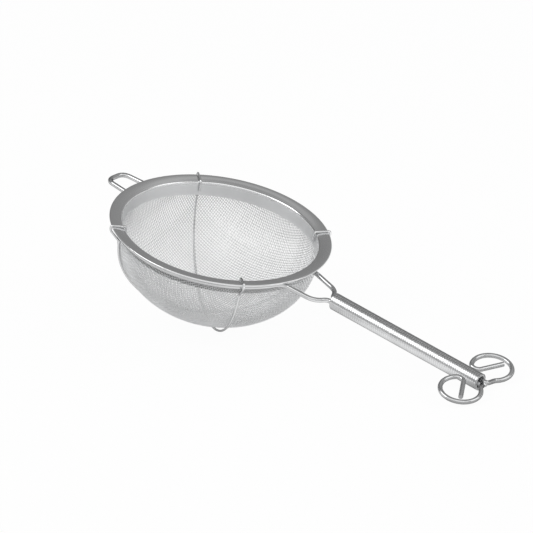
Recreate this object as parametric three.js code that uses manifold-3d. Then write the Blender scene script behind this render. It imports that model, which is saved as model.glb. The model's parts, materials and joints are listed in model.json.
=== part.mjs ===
// Wire-mesh kitchen strainer with a sprung grip, resting on a table.
// A bowl of wire cloth is clamped between a flanged rim ring and a band. One bent rod
// makes the rest ear, runs round under the flange and leaves as a fork into a close-wound
// grip, past which its two ends curl into finger rings. Two hooked wires cross under the bowl.
// Millimetres and degrees. The strainer is drawn level, with its flange's top edge at z = 0,
// its bowl round the z axis and its handle along +x, and is then tilted until its handle meets
// the table.
import * as THREE from 'three';
import { mergeVertices } from 'three/addons/utils/BufferGeometryUtils.js';
import Module from 'manifold-3d';

// Fit
const clearance = 0.3;

// Rim ring: a flange with a folded hem, a rounded lip and a collar, pressed from one sheet
const rimRadius = 92;
const flangeWidth = 11;
const flangeRise = 1;
const rimSheet = 0.8;
const hemWidth = 2.6;
const lipRadius = 1.3;
const collarDepth = 13.3;
const roundSegments = 60;

// Wire cloth, drawn as an open square net, and the band that clamps its edge
const clothThickness = 0.7;
const clothTuck = 9.6;
const clothGaps = 18;
const clothStrand = 1.2;
const bowlDepth = 62.9;
const bandSheet = 0.7;
const bandHeight = 5;

// Frame rod
const rodDiameter = 4;
const rodSides = 8;
const rodDrop = 5;
const earLength = 28.4;
const earTipWidth = 20;
const earFootWidth = 24.6;
const earTipBend = 7.5;
const earFootBend = 6;
const forkFootWidth = 38;
const forkFootBend = 7;
const forkLength = 29;
const forkShoulderWidth = 28;
const forkShoulderBend = 7.6;
const forkMouth = 10.5;
const forkMouthBend = 4;

// Grip: a close-wound spring over both legs of the rod
const gripDrop = 7.4;
const gripWire = 1.8;
const gripGap = 0.45;
const gripTurns = 70;
const gripSteps = 8;
const gripSides = 5;
const legSpread = 6;

// Finger rings, bent by hand, so the two differ a little
const ringRadius = 16.8;
const ringOffset = 26.4;
const ringPitch = 3.9;
const ringRoll = 7.6;
const ringCloseAngle = 212;
const ringHookRadius = 5.6;
const fingerRings = [
  { side: -1, ahead: 0.1, drop: 5.4, entryAngle: -50, hookTurn: 113, sweep: 6.5, tailLength: 20.5 },
  { side: 1, ahead: -10.6, drop: 7.4, entryAngle: -35, hookTurn: 128, sweep: 5, tailLength: 20.5 },
];

// Brace wires
const braceDiameter = 1.8;
const braceSides = 6;
const braceBend = 2.2;
const braceTuck = 9;
const braceDrop = 3.2;
const lowerBraceAngle = -37.3;
const upperBraceAngle = 54;

// Wedge pin that locks the grip's outer end
const pinStem = 14;
const pinHeadDiameter = 3.4;
const pinReach = 6;
const pinFlare = 3;
const pinChamfer = 0.5;

// Derived sizes
const collarRadius = rimRadius - flangeWidth;
const clothRadius = collarRadius + rimSheet + clearance + clothThickness / 2;
const bandRadius = clothRadius + clothThickness / 2 + clearance;
const rodRadius = rodDiameter / 2;
const rodRing = bandRadius + bandSheet + clearance + rodRadius;
const legOffset = legSpread / 2;
const gripRadius = legOffset + rodRadius + clearance + gripWire / 2;
const gripPitch = gripWire + gripGap;
const gripStart = rodRing + forkLength + forkMouth;
const gripEnd = gripStart + gripTurns * gripPitch;
const gripFace = gripWire / 2 + clearance;
const braceRadius = braceDiameter / 2;
const bowlTop = -collarDepth;
const degrees = THREE.MathUtils.degToRad;

const wasm = await Module();
wasm.setup();

// Steel finishes
const polished = new THREE.MeshStandardMaterial({ color: 0xb9bbbd, roughness: 0.22, metalness: 1 });
const drawnWire = new THREE.MeshStandardMaterial({ color: 0xc4c6c8, roughness: 0.16, metalness: 1 });
const cloth = new THREE.MeshStandardMaterial({ color: 0xcfd0d1, roughness: 0.38, metalness: 1 });

// A rod's centre line: curves laid end to end, each cut into its own number of steps, so that
// bends are fine and straight runs cost little.
class RodPath extends THREE.Curve {
  constructor(runs) {
    super();
    this.stations = [];
    for (const { curve, steps } of runs) {
      const first = this.stations.length > 0 ? 1 : 0;
      for (let i = first; i <= steps; i++) {
        this.stations.push({ point: curve.getPoint(i / steps), tangent: curve.getTangent(i / steps) });
      }
    }
  }

  get steps() {
    return this.stations.length - 1;
  }

  getPointAt(u, target = new THREE.Vector3()) {
    return target.copy(this.stations[Math.round(u * this.steps)].point);
  }

  getTangentAt(u, target = new THREE.Vector3()) {
    return target.copy(this.stations[Math.round(u * this.steps)].tangent);
  }
}

// A circular arc through space: from the point at angle a0 to the one at a1, in the plane of the
// unit vectors ex and ey.
class SpaceArc extends THREE.Curve {
  constructor(centre, radius, ex, ey, a0, a1) {
    super();
    Object.assign(this, { centre, radius, ex, ey, a0, a1 });
  }

  getPoint(t, target = new THREE.Vector3()) {
    const angle = THREE.MathUtils.lerp(this.a0, this.a1, t);
    return target.copy(this.centre)
      .addScaledVector(this.ex, this.radius * Math.cos(angle))
      .addScaledVector(this.ey, this.radius * Math.sin(angle));
  }

  getTangent(t, target = new THREE.Vector3()) {
    const angle = THREE.MathUtils.lerp(this.a0, this.a1, t);
    return target.set(0, 0, 0)
      .addScaledVector(this.ex, -Math.sin(angle))
      .addScaledVector(this.ey, Math.cos(angle))
      .multiplyScalar(Math.sign(this.a1 - this.a0));
  }
}

// The same curve, run from its other end.
class Reversed extends THREE.Curve {
  constructor(curve) {
    super();
    this.curve = curve;
  }

  getPoint(t, target = new THREE.Vector3()) {
    return target.copy(this.curve.getPoint(1 - t));
  }

  getTangent(t, target = new THREE.Vector3()) {
    return target.copy(this.curve.getTangent(1 - t)).negate();
  }
}

// A closed rod of a regular section along a path, with a flat of the section facing each way
// across the path.
function rod(path, diameter, sides) {
  const section = new THREE.Shape();
  const corners = [];
  for (let i = 0; i < sides; i++) {
    const angle = (i + 0.5) * 2 * Math.PI / sides;
    corners.push(new THREE.Vector2(Math.cos(angle), Math.sin(angle)).multiplyScalar(diameter / 2));
  }
  section.setFromPoints(corners);
  return new THREE.ExtrudeGeometry(section, { steps: path.steps, extrudePath: path, bevelEnabled: false });
}

// Straight runs through the given points, each inner corner eased over the given length.
function easedRuns(points, eases, cornerSteps) {
  const runs = [];
  let from = points[0];
  for (let i = 1; i < points.length - 1; i++) {
    const corner = points[i];
    const before = corner.clone().sub(points[i - 1]).setLength(eases[i - 1]);
    const after = points[i + 1].clone().sub(corner).setLength(eases[i - 1]);
    const enter = corner.clone().sub(before);
    const leave = corner.clone().add(after);
    runs.push({ curve: new THREE.LineCurve3(from, enter), steps: 1 });
    runs.push({ curve: new THREE.QuadraticBezierCurve3(enter, corner, leave), steps: cornerSteps });
    from = leave;
  }
  runs.push({ curve: new THREE.LineCurve3(from, points[points.length - 1]), steps: 1 });
  return runs;
}

// A solid of revolution round the z axis from a closed profile of (radius, height) pairs.
function revolved(profile) {
  const points = profile.map(([r, z]) => new THREE.Vector2(r, z));
  points.push(points[0].clone());
  return new THREE.LatheGeometry(points, roundSegments).rotateX(Math.PI / 2);
}

// Points on an arc of a profile, in (radius, height) pairs.
function profileArc(r, z, radius, from, to, steps) {
  const points = [];
  for (let i = 0; i <= steps; i++) {
    const angle = degrees(THREE.MathUtils.lerp(from, to, i / steps));
    points.push([r + radius * Math.cos(angle), z + radius * Math.sin(angle)]);
  }
  return points;
}

function solidOf(geometry) {
  const bare = geometry.index ? geometry.clone() : geometry;
  bare.deleteAttribute('normal');
  bare.deleteAttribute('uv');
  const merged = mergeVertices(bare, 1e-5);
  const vertProperties = new Float32Array(merged.attributes.position.array);
  const triVerts = new Uint32Array(merged.index.array);
  return new wasm.Manifold(new wasm.Mesh({ numProp: 3, vertProperties, triVerts }));
}

function geometryOf(solid) {
  const mesh = solid.getMesh();
  const geometry = new THREE.BufferGeometry();
  geometry.setAttribute('position', new THREE.BufferAttribute(new Float32Array(mesh.vertProperties), 3));
  geometry.setIndex(new THREE.BufferAttribute(new Uint32Array(mesh.triVerts), 1));
  return geometry;
}

// Rim ring: collar, lip, dished flange and the hem folded under its outer edge, flat beneath.
function rimRing() {
  const hemRadius = rimSheet;
  const lipTop = collarRadius + lipRadius;
  const hemTop = rimRadius - hemRadius;
  const slope = flangeRise / (hemTop - lipTop);
  const topAt = (r) => -flangeRise + (r - lipTop) * slope;
  const hemInner = rimRadius - hemWidth;
  const bendRadius = lipRadius - rimSheet;
  return revolved([
    [collarRadius, -collarDepth],
    ...profileArc(lipTop, -flangeRise - lipRadius, lipRadius, 180, 90, 3),
    ...profileArc(hemTop, -hemRadius, hemRadius, 90, -90, 4),
    [hemInner, -2 * hemRadius],
    [hemInner, topAt(hemInner) - rimSheet],
    ...profileArc(lipTop, -flangeRise - lipRadius, bendRadius, 90, 180, 2),
    [collarRadius + rimSheet, -collarDepth],
  ].reverse());
}

// Clamp band: a plain hoop round the tucked edge of the cloth, behind the frame rod.
function clampBand() {
  const top = bowlTop + clothTuck;
  const bottom = top - bandHeight;
  return revolved([
    [bandRadius, bottom],
    [bandRadius + bandSheet, bottom],
    [bandRadius + bandSheet, top],
    [bandRadius, top],
  ]);
}

// Half of the bowl's outline, from the pole up to the tucked edge, by length along it.
function clothMeridian() {
  const outline = new THREE.CurvePath();
  outline.add(new THREE.EllipseCurve(0, bowlTop, clothRadius, bowlDepth, -Math.PI / 2, 0));
  const shoulder = new THREE.Vector2(clothRadius, bowlTop);
  outline.add(new THREE.LineCurve(shoulder, shoulder.clone().setY(bowlTop + clothTuck)));
  return outline;
}

// A flat square net: strands along both axes, one closed plate with a hole in each gap.
function flatNet(halfWidth) {
  const pitch = 2 * halfWidth / clothGaps;
  const lines = [];
  for (let i = 0; i <= clothGaps; i++) {
    const middle = -halfWidth + i * pitch;
    lines.push(middle - clothStrand / 2, middle + clothStrand / 2);
  }
  const count = lines.length;
  const positions = [];
  for (const height of [-clothThickness / 2, clothThickness / 2]) {
    for (const y of lines) {
      for (const x of lines) {
        positions.push(x, y, height);
      }
    }
  }
  const index = [];
  const vertex = (i, j, layer) => layer * count * count + j * count + i;
  const quad = (a, b, c, d) => index.push(a, b, c, a, c, d);
  const isStrand = (i, j) => {
    const inside = i >= 0 && j >= 0 && i < count - 1 && j < count - 1;
    return inside && (i % 2 === 0 || j % 2 === 0);
  };
  for (let j = 0; j < count - 1; j++) {
    for (let i = 0; i < count - 1; i++) {
      if (!isStrand(i, j)) continue;
      const [a, b, c, d] = [[i, j], [i + 1, j], [i + 1, j + 1], [i, j + 1]];
      quad(vertex(...a, 1), vertex(...b, 1), vertex(...c, 1), vertex(...d, 1));
      quad(vertex(...d, 0), vertex(...c, 0), vertex(...b, 0), vertex(...a, 0));
      const sides = [[a, b, 0, -1], [b, c, 1, 0], [c, d, 0, 1], [d, a, -1, 0]];
      for (const [p, q, di, dj] of sides) {
        if (isStrand(i + di, j + dj)) continue;
        quad(vertex(...p, 0), vertex(...q, 0), vertex(...q, 1), vertex(...p, 1));
      }
    }
  }
  const geometry = new THREE.BufferGeometry();
  geometry.setAttribute('position', new THREE.Float32BufferAttribute(positions, 3));
  geometry.setIndex(index);
  return geometry;
}

// A flat disc or ring of the cloth's edge, as deep as the given thickness.
function flatRing(inner, outer, thickness) {
  const half = thickness / 2;
  const profile = [[inner, -half], [outer, -half], [outer, half], [inner, half]];
  return revolved(profile);
}

// Mesh bowl: the net is cut round, given its tucked edge and pressed onto the bowl, keeping
// its distance from the pole.
function meshBowl() {
  const outline = clothMeridian();
  const length = outline.getLength();
  const edge = length - clothTuck + clothStrand;
  const blank = length - clearance;
  const disc = new THREE.CylinderGeometry(blank, blank, 4 * clothThickness, roundSegments);
  const net = solidOf(flatNet(length)).intersect(solidOf(disc.rotateX(Math.PI / 2)));
  const flat = geometryOf(net.add(solidOf(flatRing(edge, length, clothThickness))));
  const position = flat.attributes.position;
  for (let i = 0; i < position.count; i++) {
    const x = position.getX(i);
    const y = position.getY(i);
    const height = position.getZ(i);
    const along = Math.min(Math.hypot(x, y) / length, 1);
    const turn = Math.atan2(y, x);
    const place = outline.getPoint(along);
    const tangent = outline.getTangent(along);
    const radius = place.x - height * tangent.y;
    position.setXYZ(i, radius * Math.cos(turn), radius * Math.sin(turn), place.y + height * tangent.x);
  }
  return flat;
}

// One half of the frame rod, from the middle of the ear to the end of a finger ring's tail.
function rodHalf({ side, ahead, drop, entryAngle, hookTurn, sweep, tailLength }) {
  const at = (x, y, z) => new THREE.Vector3(x, side * y, z);
  const ex = at(1, 0, 0);
  const ey = at(0, 1, 0);

  // A bend of the given radius that touches the rod's ring from outside, with its middle at a
  // given distance from the handle's line.
  const bendAngle = (middle, bend) => Math.asin(middle / (rodRing + bend));

  const earTip = -rodRing - earLength;
  const earFootSide = earFootWidth / 2 + earFootBend;
  const earFootAngle = bendAngle(earFootSide, earFootBend);
  const footMiddle = at(-(rodRing + earFootBend) * Math.cos(earFootAngle), earFootSide, -rodDrop);
  const foot = at(footMiddle.x, earFootWidth / 2, -rodDrop);
  const ear = easedRuns(
    [at(earTip, 0, -rodDrop), at(earTip, earTipWidth / 2, -rodDrop), foot],
    [earTipBend], 6);
  const earFoot = new SpaceArc(footMiddle, earFootBend, ex, ey, -Math.PI / 2, -earFootAngle);

  const forkFootSide = forkFootWidth / 2 + forkFootBend;
  const forkFootAngle = bendAngle(forkFootSide, forkFootBend);
  const forkMiddle = at((rodRing + forkFootBend) * Math.cos(forkFootAngle), forkFootSide, -rodDrop);
  const round = new SpaceArc(at(0, 0, -rodDrop), rodRing, ex, ey, Math.PI - earFootAngle, forkFootAngle);
  const forkFoot = new SpaceArc(forkMiddle, forkFootBend, ex, ey, forkFootAngle - Math.PI, -Math.PI / 2);

  const forkStart = at(forkMiddle.x, forkFootWidth / 2, -rodDrop);
  const shoulder = at(rodRing + forkLength, forkShoulderWidth / 2, -gripDrop);
  const mouth = at(gripStart - gripFace - forkMouthBend, legOffset, -gripDrop);
  const legEnd = at(gripEnd + gripFace, legOffset, -gripDrop);
  const fork = easedRuns([forkStart, shoulder, mouth, legEnd], [forkShoulderBend, forkMouthBend], 5);

  const pitch = degrees(ringPitch);
  const roll = degrees(ringRoll);
  const ringX = new THREE.Vector3(Math.cos(pitch), 0, -Math.sin(pitch));
  const ringY = new THREE.Vector3(0, side * Math.cos(roll), side * Math.sin(roll));
  const centre = at(gripEnd + ahead, ringOffset, -drop);
  const open = degrees(entryAngle);
  const close = degrees(ringCloseAngle);
  const ring = new SpaceArc(centre, ringRadius, ringX, ringY, open, close);
  const ringStart = ring.getPoint(0);
  const lead = new THREE.CubicBezierCurve3(
    legEnd,
    legEnd.clone().add(at(sweep, 0, 0)),
    ringStart.clone().addScaledVector(ring.getTangent(0), -sweep),
    ringStart);
  const hookPlace = ringRadius - ringHookRadius;
  const hookMiddle = new SpaceArc(centre, hookPlace, ringX, ringY, close, close).getPoint(0);
  const hook = new SpaceArc(hookMiddle, ringHookRadius, ringX, ringY, close, close + degrees(hookTurn));
  const hookEnd = hook.getPoint(1);
  const tail = new THREE.LineCurve3(hookEnd, hookEnd.clone().addScaledVector(hook.getTangent(1), tailLength));

  return [
    ...ear,
    { curve: earFoot, steps: 4 },
    { curve: round, steps: 20 },
    { curve: forkFoot, steps: 4 },
    ...fork,
    { curve: lead, steps: 6 },
    { curve: ring, steps: 20 },
    { curve: hook, steps: 6 },
    { curve: tail, steps: 1 },
  ];
}

function frameRod() {
  const [left, right] = fingerRings.map(rodHalf);
  const back = right.map(({ curve, steps }) => ({ curve: new Reversed(curve), steps })).reverse();
  return rod(new RodPath([...back, ...left]), rodDiameter, rodSides);
}

// Grip: one unbroken helix round the two legs, each end running straight for one wire's width.
class Helix extends THREE.Curve {
  getPoint(t, target = new THREE.Vector3()) {
    const angle = t * gripTurns * 2 * Math.PI;
    const x = gripStart + t * gripTurns * gripPitch;
    return target.set(x, gripRadius * Math.cos(angle), gripRadius * Math.sin(angle) - gripDrop);
  }

  getTangent(t, target = new THREE.Vector3()) {
    const angle = t * gripTurns * 2 * Math.PI;
    const rise = gripPitch / (2 * Math.PI);
    return target.set(rise, -gripRadius * Math.sin(angle), gripRadius * Math.cos(angle)).normalize();
  }
}

function gripPath() {
  const helix = new Helix();
  const start = helix.getPoint(0);
  const end = helix.getPoint(1);
  const before = start.clone().addScaledVector(helix.getTangent(0), -gripWire);
  const after = end.clone().addScaledVector(helix.getTangent(1), gripWire);
  return new RodPath([
    { curve: new THREE.LineCurve3(before, start), steps: 1 },
    { curve: helix, steps: gripTurns * gripSteps },
    { curve: new THREE.LineCurve3(end, after), steps: 1 },
  ]);
}

// The least gap between one turn of the grip and the next, measured between stations that lie
// at least half a turn apart along the wire.
function leastGripGap(path) {
  const points = path.stations.map((station) => station.point);
  let least = Infinity;
  for (let i = 0; i < points.length; i++) {
    const last = Math.min(points.length, i + 2 * gripSteps);
    for (let j = i + gripSteps / 2; j < last; j++) {
      least = Math.min(least, points[i].distanceTo(points[j]));
    }
  }
  return least - gripWire;
}

// Brace wire: hooked over the flange and down inside the collar at both ends, and drawn tight
// under the bowl. The extra drop takes the lower wire past the upper one.
function braceWire(angle, extraDrop) {
  const away = clearance + braceRadius;
  const inner = collarRadius - away;
  const outer = rimRadius + away;
  const wide = clothRadius + clothThickness / 2 + away;
  const deep = bowlDepth + clothThickness / 2 + away + extraDrop;
  const outward = new THREE.Vector3(Math.cos(degrees(angle)), Math.sin(degrees(angle)), 0);
  const upward = new THREE.Vector3(0, 0, 1);
  const at = (r, z) => outward.clone().multiplyScalar(r).setZ(z);

  const knee = wide + clearance;
  const touch = -Math.acos(wide / knee);
  const meet = at(wide * Math.cos(touch), deep * Math.sin(touch) + bowlTop);
  const hook = (sign) => [
    at(sign * inner, -braceTuck),
    at(sign * inner, away - flangeRise),
    at(sign * outer, away),
    at(sign * outer, -braceDrop),
    at(sign * knee, bowlTop),
    meet.clone().multiply(new THREE.Vector3(sign, sign, 1)),
  ];
  const eases = [braceBend, braceBend, braceBend, braceBend / 2];
  const first = easedRuns(hook(1), eases, 3);
  const last = easedRuns(hook(-1), eases, 3);
  const back = last.map(({ curve, steps }) => ({ curve: new Reversed(curve), steps })).reverse();

  class Sling extends THREE.Curve {
    getPoint(t, target = new THREE.Vector3()) {
      const turn = THREE.MathUtils.lerp(touch, -Math.PI - touch, t);
      return target.copy(outward).multiplyScalar(wide * Math.cos(turn))
        .addScaledVector(upward, deep * Math.sin(turn) + bowlTop);
    }

    getTangent(t, target = new THREE.Vector3()) {
      const turn = THREE.MathUtils.lerp(touch, -Math.PI - touch, t);
      return target.copy(outward).multiplyScalar(wide * Math.sin(turn))
        .addScaledVector(upward, -deep * Math.cos(turn)).normalize();
    }
  }
  return rod(new RodPath([...first, { curve: new Sling(), steps: 32 }, ...back]), braceDiameter, braceSides);
}

// Wedge pin: a stem between the legs that flares to a round head where they part.
function wedgePin() {
  const stem = legOffset - rodRadius - clearance;
  const head = pinHeadDiameter / 2;
  const profile = [
    [0, -pinStem],
    [stem * 0.6, -pinStem],
    [stem, -pinStem + stem],
    [stem, gripFace],
    [head, gripFace + pinFlare],
    [head, pinReach - pinChamfer],
    [head - pinChamfer, pinReach],
    [0, pinReach],
  ].map(([r, x]) => new THREE.Vector2(r, x));
  return new THREE.LatheGeometry(profile, 12).rotateZ(-Math.PI / 2).translate(gripEnd, 0, -gripDrop);
}

// The tilt that brings the bowl's lowest wire and the handle's lowest point down to the same
// level, and that level.
function restingTilt(bowlGeometry, handleGeometries) {
  const lowest = (geometry, tilt) => {
    const position = geometry.attributes.position;
    let low = Infinity;
    for (let i = 0; i < position.count; i++) {
      low = Math.min(low, position.getZ(i) * Math.cos(tilt) - position.getX(i) * Math.sin(tilt));
    }
    return low;
  };
  const handleLow = (tilt) => Math.min(...handleGeometries.map((geometry) => lowest(geometry, tilt)));
  let level = 0;
  let steep = Math.PI / 4;
  for (let i = 0; i < 40; i++) {
    const tilt = (level + steep) / 2;
    if (handleLow(tilt) > lowest(bowlGeometry, tilt)) level = tilt;
    else steep = tilt;
  }
  return { tilt: level, height: -lowest(bowlGeometry, level) };
}

const grip = gripPath();
console.log(`grip, least gap between turns: ${leastGripGap(grip).toFixed(3)} mm`);

const frameGeometry = frameRod();
const gripGeometry = rod(grip, gripWire, gripSides);
const lowerBraceGeometry = braceWire(lowerBraceAngle, braceDiameter + clearance);
const rest = restingTilt(lowerBraceGeometry, [frameGeometry, gripGeometry]);
const restDegrees = THREE.MathUtils.radToDeg(rest.tilt);
console.log(`resting tilt: ${restDegrees.toFixed(2)} degrees, height ${rest.height.toFixed(2)} mm`);

const strainer = new THREE.Group();
strainer.rotation.y = rest.tilt;
strainer.position.z = rest.height;

function addPiece(name, geometry, material) {
  const mesh = new THREE.Mesh(geometry, material);
  mesh.name = name;
  strainer.add(mesh);
}

addPiece('rim_ring', rimRing(), polished);
addPiece('clamp_band', clampBand(), polished);
addPiece('mesh_bowl', meshBowl(), cloth);
addPiece('frame_rod', frameGeometry, drawnWire);
addPiece('grip_coil', gripGeometry, drawnWire);
addPiece('brace_lower', lowerBraceGeometry, drawnWire);
addPiece('brace_upper', braceWire(upperBraceAngle, 0), drawnWire);
addPiece('wedge_pin', wedgePin(), polished);

// The origin lies on the table, under the middle of the strainer's box.
const middle = new THREE.Box3().setFromObject(strainer, true).getCenter(new THREE.Vector3());
strainer.position.x = -middle.x;
strainer.position.y = -middle.y;
console.log(`shift: ${strainer.position.x.toFixed(3)} ${strainer.position.y.toFixed(3)} mm`);

const part = new THREE.Group();
part.add(strainer);

export default part;
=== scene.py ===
"""Looks of a wire-mesh kitchen strainer with a sprung grip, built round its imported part.

The strainer is drawn level, in metres: the outer top edge of its flange lies at z = 0, its bowl
is round the z axis and its handle runs along +x. level_to_rest then gives the matrix that puts
each piece where the part rests on its table, worked out from the part's seat under the hem.
"""
import json
import math
from types import SimpleNamespace

import bmesh
import bpy
import numpy as np
from bpy.props import FloatProperty, FloatVectorProperty, IntProperty, PointerProperty
from mathutils import Matrix, Vector


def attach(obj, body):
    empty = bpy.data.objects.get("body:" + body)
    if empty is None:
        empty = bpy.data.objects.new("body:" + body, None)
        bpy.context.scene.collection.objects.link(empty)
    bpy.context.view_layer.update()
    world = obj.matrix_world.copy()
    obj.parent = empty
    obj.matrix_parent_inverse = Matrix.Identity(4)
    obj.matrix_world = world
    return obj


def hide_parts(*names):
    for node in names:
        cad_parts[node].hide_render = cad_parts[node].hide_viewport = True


bl_info = {
    "name": "Wire-mesh Strainer",
    "version": (1, 0, 0),
    "blender": (4, 5, 0),
    "location": "View3D > Sidebar > Strainer",
    "description": "Builds the looks of a wire-mesh strainer round its packed part",
    "category": "Object",
}

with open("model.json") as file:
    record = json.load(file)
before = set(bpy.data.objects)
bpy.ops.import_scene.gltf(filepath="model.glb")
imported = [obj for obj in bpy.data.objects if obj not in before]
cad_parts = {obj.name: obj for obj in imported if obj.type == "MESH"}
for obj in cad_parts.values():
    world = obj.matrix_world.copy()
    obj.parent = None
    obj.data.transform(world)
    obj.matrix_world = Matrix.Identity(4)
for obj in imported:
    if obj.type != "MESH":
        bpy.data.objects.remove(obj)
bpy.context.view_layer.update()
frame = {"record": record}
BODY = "root"
SEAT = next(mount for mount in frame["record"]["mounts"] if mount["name"] == "hem_seat")

# Fit between neighbouring pieces, and the distance under which two points are one
CLEARANCE = 0.0003
SAME_POINT = 1e-6

# How finely round shapes are cut
ROUND_STEPS = 240
BEND_STEPS = 14
LOOP_STEPS = 60
HOOP_STEPS = 90
MERIDIAN_POINTS = 600
SHEET_CREASE = math.radians(40)
GRIP_CREASE = math.radians(60)

# Height of the collar's turn-in over its depth, and radius of the pin's tip over its stem's
TURN_IN_RUN = 10
PIN_TIP = 0.6

# Where on its noise a steel takes its painted shade, is darker and is lighter
SHADE_STOPS = (0, 0.25, 0.75)

# Sheet: fineness of its polishing lines, depth of the polish, shares of roughness, and the painted shade
# that darkens the collar's back under the flange and behind the cloth
POLISH_FINENESS = 60
POLISH_DEPTH = 0.0035
LINE_ROUGHNESS = 0.06
CLOUD_GLOSS = 0.03
SATIN_ROUGHNESS = 0.2
PAINTED_SHADE_BEHIND_CLOTH = 0.45

# Band: what its unpolished strip and its stains add to roughness
BAND_ROUGHNESS = 0.15
STAIN_ROUGHNESS = 0.12

# Rods and wires: shade where they turn away from the eye, and what haze and patches add to roughness
ROD_EDGE = 0.3
HAZE_ROUGHNESS = 0.08
PATCH_ROUGHNESS = 0.10

# Inside of the grip's winding: roughness added and metal taken away
INSIDE_ROUGHNESS = 0.4
INSIDE_DULLNESS = 0.8

# Stage: the camera's sensor in millimetres; the floor's half width, its grey and the white over it
SENSOR = 36
FLOOR_REACH = 3
FLOOR_GREY = 0.8
FLOOR_WHITE = 0.95

# Lamps and cards: turn from the camera's heading and height above the table, in degrees
KEY_LAMP = SimpleNamespace(size=1.0, reach=1.6, turn=-75, height=50)
FILL_LAMP = SimpleNamespace(size=1.2, reach=1.8, turn=75, height=35)
BACK_CARD = SimpleNamespace(turns=(45, 315), heights=(6, 72))
TOP_CARD = SimpleNamespace(turns=(-180, 180), heights=(72, 90))
FRONT_CARD = SimpleNamespace(turns=(-45, 45), heights=(1, 24))
CARD_REACH = 2.5
CARD_CELLS = 60

# Shades of the dome's cards: an even level, two slopes round the dome and one lighter stripe
CARD_LEVEL = 1.05
BACK_SLOPE = SimpleNamespace(first=140, last=190, change=-0.4)
SIDE_SLOPE = SimpleNamespace(first=240, last=290, change=0.8)
STRIPE = SimpleNamespace(height=48, width=5, change=0.6)

# Shades of the table's card: grey by the bowl, white along the grip, darker by the rings
TABLE_CARD_REACH = 0.6
TABLE_GREY = 0.72
RINGS_GREY = 0.45
GRIP_LIGHT = SimpleNamespace(start=0.0, end=0.14, fade=0.03)

# The two finger rings are bent by hand and differ a little
FINGER_RINGS = (
    SimpleNamespace(side=-1, ahead=0.0001, drop=0.0054, entry=-50, hook_turn=113, sweep=0.0065),
    SimpleNamespace(side=1, ahead=-0.0106, drop=0.0074, entry=-35, hook_turn=128, sweep=0.005),
)


def length(name, description, default):
    """A length property, in metres."""
    return FloatProperty(name=name, description=description, default=default, unit="LENGTH", precision=5)


def angle(name, description, default):
    """An angle property, its default in degrees."""
    turn = math.radians(default)
    return FloatProperty(name=name, description=description, default=turn, subtype="ANGLE")


def share(name, description, default):
    """A property from 0 to 1."""
    return FloatProperty(name=name, description=description, default=default, min=0, max=1,
                         subtype="FACTOR")


def colour(name, description, default):
    """A linear colour property."""
    return FloatVectorProperty(name=name, description=description, default=default, min=0, max=1,
                               subtype="COLOR")


def plain(name, description, default):
    """A number property without a unit."""
    return FloatProperty(name=name, description=description, default=default)


class RimSizes(bpy.types.PropertyGroup):
    """The rim ring and the clamp band under it."""

    radius: length("Radius", "Outer radius of the flange", 0.092)
    flange: length("Flange", "Width of the flange, with its lip", 0.011)
    rise: length("Rise", "How far the flange rises from lip to hem", 0.001)
    sheet: length("Sheet", "Thickness of the pressed sheet", 0.0008)
    hem: length("Hem", "Width of the folded hem", 0.0026)
    lip: length("Lip", "Radius of the lip between collar and flange", 0.002)
    crown: length("Crown", "Rise of the flange between its edges", 0.0002)
    turn_in: length("Turn-in", "How far the collar's lower edge is turned in", 0.0003)
    collar: length("Collar", "Depth of the collar", 0.0133)
    band: length("Band", "Thickness of the clamp band", 0.0007)
    band_height: length("Band height", "Height of the clamp band", 0.005)


class ClothSizes(bpy.types.PropertyGroup):
    """The wire cloth."""

    room: length("Room", "Thickness of the cloth between collar and band", 0.0007)
    tuck: length("Tuck", "Width of the edge held behind the band", 0.0096)
    depth: length("Depth", "Depth of the bowl below the collar", 0.0629)
    pitch: length("Pitch", "Distance from wire to wire", 0.0022)
    wire: length("Wire", "Diameter of the cloth's wires", 0.00062)
    turn: angle("Turn", "Angle from the handle to the cloth's wires", 8)


class RodSizes(bpy.types.PropertyGroup):
    """The bent rod: rest ear, ring under the flange, fork and legs."""

    diameter: length("Diameter", "Diameter of the rod", 0.004)
    drop: length("Drop", "Depth of the rod's ring below the flange", 0.005)
    ear_length: length("Ear length", "Reach of the ear beyond the rod's ring", 0.0284)
    ear_tip: length("Ear tip", "Width of the ear at its tip", 0.020)
    ear_foot: length("Ear foot", "Width of the ear at the rim", 0.0246)
    ear_tip_bend: length("Ear tip bend", "Ease of the ear's corners", 0.0075)
    ear_foot_bend: length("Ear foot bend", "Radius of the bends from ring to ear", 0.006)
    fork_foot: length("Fork foot", "Width of the fork at the rim", 0.038)
    fork_foot_bend: length("Fork foot bend", "Radius of the bends from ring to fork", 0.007)
    fork_length: length("Fork length", "Reach of the fork's prongs", 0.029)
    fork_shoulder: length("Fork shoulder", "Width of the fork at its shoulders", 0.028)
    fork_shoulder_bend: length("Shoulder bend", "Ease of the fork's shoulders", 0.0076)
    fork_mouth: length("Fork mouth", "Length of the fork's closing run", 0.0105)
    fork_mouth_bend: length("Mouth bend", "Ease of the bends into the grip", 0.004)
    spread: length("Spread", "Distance between the two legs", 0.006)


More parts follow.
